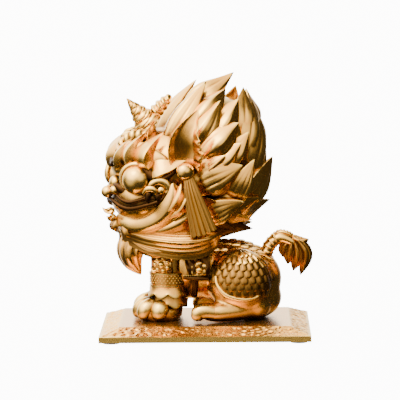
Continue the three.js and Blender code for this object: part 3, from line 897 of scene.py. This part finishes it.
# %% Shoulder knot
KNOT = Vector((-29.2, -24.4, 39.8))
KNOBS = 7
knot_out = Vector((-0.35, -1, 0)).normalized()
across = knot_out.cross(Vector((0, 0, 1)))
cushion = [KNOT + Vector(shift) for shift in ((0, 1.4, -6), (0, 0.4, 0), (0, 1.6, 6))]
body += pair(cushion, knot_out, 7, 1.8, profile=leaf(0.85, 0.5, 0.4), turns=32, steps=20)
body += both(bead(KNOT + knot_out * 1.2, 2.5, level=3))
for i in range(KNOBS):
    turn = 2 * pi * i / KNOBS
    place = KNOT + across * 4.6 * cos(turn) + Vector((0, 0, 4.4 * sin(turn)))
    body += both(bead(place + knot_out * 0.5, 1.7, level=2))
for side in (-1, 1):
    for lift in (-5, 5):
        scroll = [KNOT + across * side * 3 + Vector((0, 0.8, lift * 0.8)),
                  KNOT + across * side * 6.5 + Vector((0, 0.8, lift)),
                  KNOT + across * side * 7.4 + Vector((0, 1.6, lift * 0.35))]
        body += pair(scroll, knot_out, 1.3, 1.5, profile=leaf(0.7, 0.4, 0.6), turns=16, steps=16)
print("knobs in the knot:", KNOBS + 1)

# %% [markdown]
# The hind foot lies flat along the plate and ends in three toes side by side.

# %% Hind toes
HIND_TOE = [(7, -28.8, 7.5), (0, -29.3, 8.4), (-4.6, -29.5, 6.8), (-5.4, -29.5, 2)]
for side in (-5, 0, 5):
    toe = [(x, y + side, z) for x, y, z in HIND_TOE]
    body += pair(toe, (0, 0, 1), 3.4, 5, out_tip=(-1, 0, 0.2), profile=leaf(0.8, 0.6, 0.35),
                 turns=24, steps=22)
print("body forms:", len(body))

# %% [markdown]
# ## The harness
# A harness crosses the side: a folded cloth held by a flower boss, a beaded border, a band and
# a strap that goes under the belly. It is cast metal, so the cloth is a carved form with folds
# in its section and not a simulated sheet.

# %% Harness
def folded(angle, t):
    """A cloth's section with folds that swing from side to side as they fall."""
    u = cos(angle)
    fold = cos(3.5 * pi * (u + 0.25 * sin(2.2 * pi * t)))
    lift = 0.75 * abs(sin(angle)) ** 0.5 + (0.25 * fold if angle > 0 else 0) * (1 - u * u)
    return u, lift if angle > 0 else -lift


CLOTH = [(-7, -18, 50), (-5.5, -24.5, 45), (-4.5, -27.6, 38), (-4.5, -27.4, 31)]
BAND = [(-15, -25.6, 31), (-6, -28.8, 30.6), (3, -28, 30.2)]
STRAP = [(-7.5, -27.8, 31), (-7.5, -25.6, 24), (-7.5, -19, 16)]
BOSS = Vector((-4, -29.4, 36.5))
PETALS, BORDER_BEADS = 6, 12
body += pair(CLOTH, (0, -1, 0.2), 8.6, 2.6, profile=leaf(0.95, 0.5, 0.25), section=folded,
             turns=96, steps=40)
body += pair(BAND, (0, -1, 0), 1.5, 1.7, profile=leaf(0.9, 0.5, 0.2), turns=16, steps=24)
body += pair(STRAP, (0, -1, 0), 2.7, 1.8, profile=leaf(0.95, 0.5, 0.2), turns=40, steps=20,
             section=lick(lean=0, broad=3, steep=3, lines=1, depth=0.3))
body += both(bead(BOSS + Vector((0, -0.6, 0)), 2.5, level=3))
for i in range(PETALS):
    turn = 2 * pi * (i + 0.5) / PETALS
    petal = BOSS + Vector((3.6 * cos(turn), 0.9, 3.6 * sin(turn)))
    body += balls(petal, (2.4, 1.1, 2.4), turns=20, steps=14)
for i in range(BORDER_BEADS):
    share = i / (BORDER_BEADS - 1)
    out = 27.2 + 2 * sin(pi * min(1, share + 0.2))
    body += both(bead((-14 + 16.5 * share, -out, 32.6), 0.8))
print("body forms with the harness:", len(body))

# %% [markdown]
# ## The scales
# The haunch carries a field of overlapping scales with a raised rim round it, and three rows
# run along the back. A bump texture would look flat from the side, so each scale is a small
# form. It is laid by casting a ray on to the finished flesh, so that it always sits on the
# skin, whatever the shape below it. Only the rays that land inside the field get a scale.

# %% Laying a scale
RAY_START = 60


def on_skin(origin, direction, proud=0.0):
    """Where a ray from outside meets the flesh, and which way the skin faces there."""
    start = Vector(origin) + Vector(direction) * RAY_START
    point, normal, _, _ = skin.ray_cast(start, -Vector(direction))
    return point + normal * proud, normal


def scale(origin, direction, down, wide, long):
    """One overlapping scale: sunk at its root, raised at its rounded lower edge."""
    point, normal = on_skin(origin, direction)
    along = (Vector(down) - normal * normal.dot(Vector(down))).normalized()
    root = point - along * long * 0.6 - normal * 0.8
    tip = point + along * long * 0.55 + normal * 0.45
    return pair([root, point + normal * 0.1, tip], normal, wide, 0.9, turns=20, steps=10,
                profile=leaf(0.7, 0.65, 0.35),
                section=lick(lean=0, broad=3.5, steep=3.5, belly=1.0))


print("the haunch's skin is at", on_skin(HAUNCH_AT, (0, -1, 0))[0][:])

# %% Haunch and back scales
# The field's lowest and highest z at each x, and the points that its rim runs over.
FIELD_X = (3, 6.3, 15.6, 26, 37, 47)
FIELD_LOW = (33, 25, 19.5, 17, 16, 19)
FIELD_HIGH = (34, 38, 45, 48, 47, 42)
RIM = [(1.5, 35), (4, 28), (9, 22.5), (15.6, 18.5), (26, 16), (37, 15), (46, 18)]
# The y of each row along the back, and how far it is shifted to overlap its neighbours.
BACK_ROWS = ((-3, 0), (-9.2, 2.9), (-15.4, 0))
scales = []
for row in range(8):
    for i in range(10):
        turn = radians(-72 + 18 * i + (row % 2) * 9)
        lift = radians(-36 + 14.5 * row)
        aim = Vector((sin(turn) * cos(lift), -cos(turn) * cos(lift), sin(lift)))
        x, _, z = on_skin(HAUNCH_AT, aim)[0]
        low = np.interp(x, FIELD_X, FIELD_LOW) + 1.5
        if 4 < x < 46 and low < z < np.interp(x, FIELD_X, FIELD_HIGH):
            scales += scale(HAUNCH_AT, aim, (0.15, 0, -1), 3.8 * cos(lift) ** 0.5, 7.4)
for k in range(7):
    for y, shift in BACK_ROWS:
        scales += scale((6.5 + 5.8 * k + shift, y, 30), (0, 0, 1), (1, 0, 0), 3.0, 7)
print("scales laid:", len(scales))
rim = [on_skin(HAUNCH_AT, (Vector((x, -36, z)) - HAUNCH_AT).normalized(), 0.4)[0]
       for x, z in RIM]
scales += pair(rim, (0, -1, 0), 1.6, 1.6, profile=leaf(0.6, 0.5, 0.4), turns=16, steps=56)
# The scales get the gold with less toning and painted shade.
cast("lion_scales", scales, material=less_shaded_gold)

# %% [markdown]
# ## The tail
# The tail arches back over the plate. It has raised rings near its root, a row of beads on its
# crest, and a tuft of hair strands at its tip. It starts inside the flesh, so it looks grown
# and not glued on.

# %% Tail
def ringed(angle, t):
    """The tail's section, with four raised rings near its root."""
    wave = max(0.0, sin(2 * pi * 12 * t)) if 0.12 < t < 0.45 else 0
    reach = 1 + 0.12 * wave
    return reach * cos(angle), reach * sin(angle)


TAIL = [(40, 0, 36), (43.5, 0, 48), (50.5, 0, 54.5), (59, 0, 52), (63, 0, 46)]
tail = form(TAIL, (0, 1, 0), 4.4, 5.0, profile=leaf(1, 0.3, 0.4), section=ringed,
            turns=32, steps=96)
CREST = [Vector(p) for p in ((44.5, 0, 54.5), (51, 0, 58.6), (58, 0, 57.2), (62, 0, 53.5))]
tail += form(CREST, (0, 0, 1), 2.6, 1.4, profile=leaf(0.4, 0.5, 0.7), turns=24, steps=24)
for k in range(9):
    tail.append(bead(spot(CREST, 0.08 + 0.1 * k) + Vector((0, 0, 0.8)), 1.25, level=2))
hair_cut = lick(lean=0.1, broad=1.5, steep=1.2, lines=2, depth=0.16)
TAIL_TUFT = [
    ([(56, 0, 52), (53.6, 0, 47), (53.4, 0, 41)], 3.4),
    ([(59, 0, 52), (57.8, 0, 44), (56.8, 0, 36)], 4.6),
    ([(61, 0, 52), (63, 0, 42), (60.4, 0, 31.5)], 5.2),
    ([(63, 0, 53), (69, 0, 43), (65.4, 0, 28.4)], 5.0),
    ([(60, 0, 54.5), (66, 0, 52), (71.6, 0, 53.5)], 3.4),
]
for spine, wide in TAIL_TUFT:
    tail += form(spine, (0, -1, 0), wide, 1.1 * wide, profile=leaf(0.8, 0.45, 0.9),
                 section=hair_cut, turns=56, steps=28)
# The tail gets the gold with less toning and painted shade; the body gets the casting's full
# painted shade.
cast("lion_tail", tail, material=less_shaded_gold)
cast("lion_body", body)

# %% [markdown]
# ## The plate
# The plate has a thin upright edge, sloping sides with hammer marks and a smooth top. It could
# be carried over from CAD with a bump texture, but the marks catch the light along the slope's
# edge, so they are real. A cube's top face is inset and raised to make the slopes, these are
# cut into a fine grid, and each point is pushed in by the nearest hammer blow.

# %% Plate
EDGE, RISE, SLOPE = 3.75, 5.0, 13.5
low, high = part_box("base_plate")
length, depth = (high[0] - low[0]) / MM, (high[1] - low[1]) / MM
foot = low[2] / MM
plate = bmesh.new()
bmesh.ops.create_cube(plate, size=1)
bmesh.ops.scale(plate, vec=(length, depth, EDGE), verts=plate.verts)
bmesh.ops.translate(plate, vec=(0, 0, foot + EDGE / 2), verts=plate.verts)
top = [face for face in plate.faces if face.normal.z > 0.9]
bmesh.ops.inset_region(plate, faces=top, thickness=SLOPE, depth=0, use_even_offset=True)
bmesh.ops.translate(plate, vec=(0, 0, RISE), verts=top[0].verts)
slopes = [face for face in plate.faces if 0.1 < face.normal.z < 0.99]
print("slopes:", len(slopes), "top:", [round(v.co.z, 2) for v in top[0].verts])

# %% Hammer marks
RUN_CUTS, FALL_CUTS = 170, 19
MARK_LONG, MARK_SHORT, MARK_DEPTH = 4.2, 2.6, 0.62
WAVE, WAVE_DEPTH = 1.7, 0.25
NEARLY = 0.01


def climb(edge):
    """How far an edge of the plate rises."""
    a, b = edge.verts
    return abs(a.co.z - b.co.z)


runs = {edge for face in slopes for edge in face.edges if climb(edge) < NEARLY}
bmesh.ops.subdivide_edges(plate, edges=list(runs), cuts=RUN_CUTS, use_grid_fill=True)
falls = [edge for edge in plate.edges if climb(edge) > RISE - NEARLY
         and max(v.co.z for v in edge.verts) > PLATE_TOP - NEARLY]
bmesh.ops.subdivide_edges(plate, edges=falls, cuts=FALL_CUTS, use_grid_fill=True)
for vert in plate.verts:
    rise = (vert.co.z - foot - EDGE) / RISE
    if 0.02 < rise < 0.98:
        place = vert.co.copy()
        place.z = 0
        near = noise.voronoi(Vector((place.x / MARK_LONG, place.y / MARK_SHORT, 0.3)))[0][0]
        dent = WAVE_DEPTH * noise.noise(place / WAVE)
        dent -= MARK_DEPTH * max(0.0, 1 - near * near * 2.6)
        vert.co += vert.normal * dent * min(1, 6 * rise, 6 * (1 - rise))
set_piece("base_plate_hammered", plate, "base_plate", plate_gold, sharp=24)

# %% [markdown]
# ## Rubber pads
# The four pads are plain black discs, already the right shape in CAD, so they stay and get a
# matt rubber finish with a little mottling.

# %% Rubber
rubber = Finish("pad_rubber_black")
mottle = rubber.noise(0.8, 3)
rubber.feed("Base Color", rubber.mix(mottle, (0.012, 0.011, 0.011, 1), (0.035, 0.032, 0.03, 1)))
rubber.feed("Roughness", mottle * 0.2 + 0.65)
rubber.bump(mottle, 0.3, 0.05)
for name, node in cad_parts.items():
    if name.startswith("rubber_pad"):
        node.data.materials.clear()
        node.data.materials.append(rubber.material)
        print(name, "is now", rubber.material.name)

# %% [markdown]
# ## How much of the sky each point sees
# The hollows get brown, partly real toning and partly painted shade where the casting hides the
# sky. Blender's renderer could work that out for each view, but stored on the mesh it costs
# nothing later. From each point of a piece a few rays go out, and the share that meets the
# casting close by is kept as `hollow`. `edge` is how far a point stands out from the mean of its
# neighbours. Then `hollow` is smoothed, so that the brown has no grain of its own.

# %% Rays
REACH = 14 * MM
START_OFF = 0.15 * MM
GRAZING = 0.15
rays_each = 16


def sphere_directions(number):
    """Evenly spread directions on a sphere."""
    made = []
    for k in range(number):
        z = 1 - (2 * k + 1) / number
        turn = k * pi * (3 - sqrt(5))
        flat = sqrt(1 - z * z)
        made.append(Vector((flat * cos(turn), flat * sin(turn), z)))
    return made


directions = sphere_directions(rays_each * 2)
trees = [BVHTree.FromPolygons([v.co for v in piece.data.vertices],
                              [p.vertices for p in piece.data.polygons]) for piece in pieces]


def hidden_share(vert):
    """How much of the sky over a point the casting hides; a near wall counts for more."""
    start = vert.co + vert.normal * START_OFF
    total = weight = 0.0
    for direction in directions:
        facing = direction.dot(vert.normal)
        if facing < GRAZING:
            continue
        weight += facing
        nearest = REACH
        for tree in trees:
            hit = tree.ray_cast(start, direction, nearest)
            if hit[0] is not None:
                nearest = hit[3]
        total += facing * (1 - nearest / REACH)
    return total / max(weight, 1e-6)


print("directions:", len(directions), "pieces to meet:", len(trees))

# %% Hollows and edges
EDGE_ROUNDS, HOLLOW_ROUNDS = 4, 4
FULL_EDGE = 0.35 * MM


def table(items, name, width, kind=float):
    """The items' values as an array with one row each."""
    values = np.empty(len(items) * width, dtype=kind)
    items.foreach_get(name, values)
    return values.reshape(-1, width)


def smoothed(values, ends, rounds):
    """The values of each point's neighbours, averaged a few times over."""
    degree = np.bincount(ends.ravel(), minlength=len(values)).reshape(-1, 1)
    for _ in range(rounds):
        total = np.zeros_like(values)
        np.add.at(total, ends[:, 0], values[ends[:, 1]])
        np.add.at(total, ends[:, 1], values[ends[:, 0]])
        values = total / degree
    return values


for piece in pieces:
    mesh = piece.data
    ends = table(mesh.edges, "vertices", 2, np.int64)
    places = table(mesh.vertices, "co", 3)
    normals = table(mesh.vertices, "normal", 3)
    proud = ((places - smoothed(places, ends, EDGE_ROUNDS)) * normals).sum(axis=1)
    # `hollow` drives the brown of toning and painted shade in the gilt materials.
    hidden = np.array([[hidden_share(vert)] for vert in mesh.vertices])
    stored = {"hollow": smoothed(hidden, ends, HOLLOW_ROUNDS),
              "edge": np.clip(proud / FULL_EDGE, 0, 1)}
    for name, values in stored.items():
        attribute = mesh.attributes.new(name, "FLOAT", "POINT")
        attribute.data.foreach_set("value", values.ravel().astype(np.float32))
        print(piece.name, name, "mean", round(float(values.mean()), 3))

# %% [markdown]
# ## Studio
# A pale floor reaches far enough to fill the frame. It glows a little, as paper lit from below
# does, and the metal doesn't mirror it, so the undersides stay brown. One soft key light comes
# from the upper left. An area lamp would do as well, but a wide sun needs no place.

# %% Floor and key light
FLOOR_SIZE = 14
PAPER_GLOW = 11.0
KEY_STRENGTH, KEY_DEGREES = 1.5, 30
KEY_TOWARDS = (0.38, 0.45, -0.85)
floor_mesh = bmesh.new()
bmesh.ops.create_grid(floor_mesh, x_segments=1, y_segments=1, size=FLOOR_SIZE)
floor = link(to_object(floor_mesh, "floor"))
paper = Finish("floor_paper")
paper.feed("Base Color", (0.35, 0.35, 0.35, 1))
paper.feed("Roughness", 0.9)
paper.feed("Emission Color", (1, 1, 1, 1))
paper.feed("Emission Strength", PAPER_GLOW)
floor.data.materials.append(paper.material)
floor.visible_glossy = False

key_data = bpy.data.lights.new("key", "SUN")
key_data.energy = KEY_STRENGTH
key_data.angle = radians(KEY_DEGREES)
key = link(bpy.data.objects.new("key", key_data))
key.rotation_euler = Vector(KEY_TOWARDS).to_track_quat("-Z", "Y").to_euler()
print("floor half-width in m:", FLOOR_SIZE, "key light strength:", KEY_STRENGTH)

# %% [markdown]
# Metal shows what is around it, so the walls matter as much as the finish. A real studio has
# white sheets on the lit side and dark ones on the other. Here each sheet is a soft patch of
# the world: one at the upper left, dimmer ones in front, above, beside and behind, and dark
# between them. All but the one behind are a little warm. Past the floor the camera sees a
# plain pale wall.

# %% Walls
# Of each wall: where it stands, the cosines at which it starts and is full, and its strength.
WALLS = {
    "softbox": ((-0.48, -0.45, 0.78), 0.55, 0.97, 5.8),
    "fill": ((-0.1, -1, 0.8), 0.5, 1.0, 0.6),
    "above": ((-0.4, 0.5, 0.77), 0.5, 1.0, 4.2),
    "side": ((0.45, -0.75, 0.5), 0.75, 1.0, 1.9),
    "left": ((-0.8, -0.6, 0.1), 0.6, 1.0, 1.2),
    "behind": ((-0.2, 1, 0.1), 0.65, 0.98, 2.4),
}
DARK = 0.05
WARM, PLAIN = (1, 0.84, 0.70, 1), (1, 1, 1, 1)
studio = bpy.data.worlds.new("studio")
studio.use_nodes = True
bpy.context.scene.world = studio
sky = Nodes(studio.node_tree)


def wall(towards, start, full):
    """How far a direction lies within the wall that stands towards, from 0 to 1."""
    looking = sky.node("ShaderNodeTexCoord", output="Generated")
    near = sky.node("ShaderNodeVectorMath", {"operation": "DOT_PRODUCT"},
                    {0: looking, 1: Vector(towards).normalized()}, output="Value")
    return sky.node("ShaderNodeMapRange", {"interpolation_type": "SMOOTHSTEP"},
                    {"Value": near, "From Min": start, "From Max": full}, output="Result")


walls = {name: wall(*row[:3]) for name, row in WALLS.items()}
around = sum((walls[name] * row[3] for name, row in WALLS.items()), DARK)
seen = sky.node("ShaderNodeLightPath", output="Is Camera Ray")
colour = sky.mix(walls["behind"].maths("MAXIMUM", seen), WARM, PLAIN)
background = studio.node_tree.nodes["Background"]
plug(sky.tree, seen * PAPER_GLOW + (1 - seen) * around, background.inputs["Strength"])
plug(sky.tree, colour, background.inputs["Color"])
print("walls:", ", ".join(WALLS))
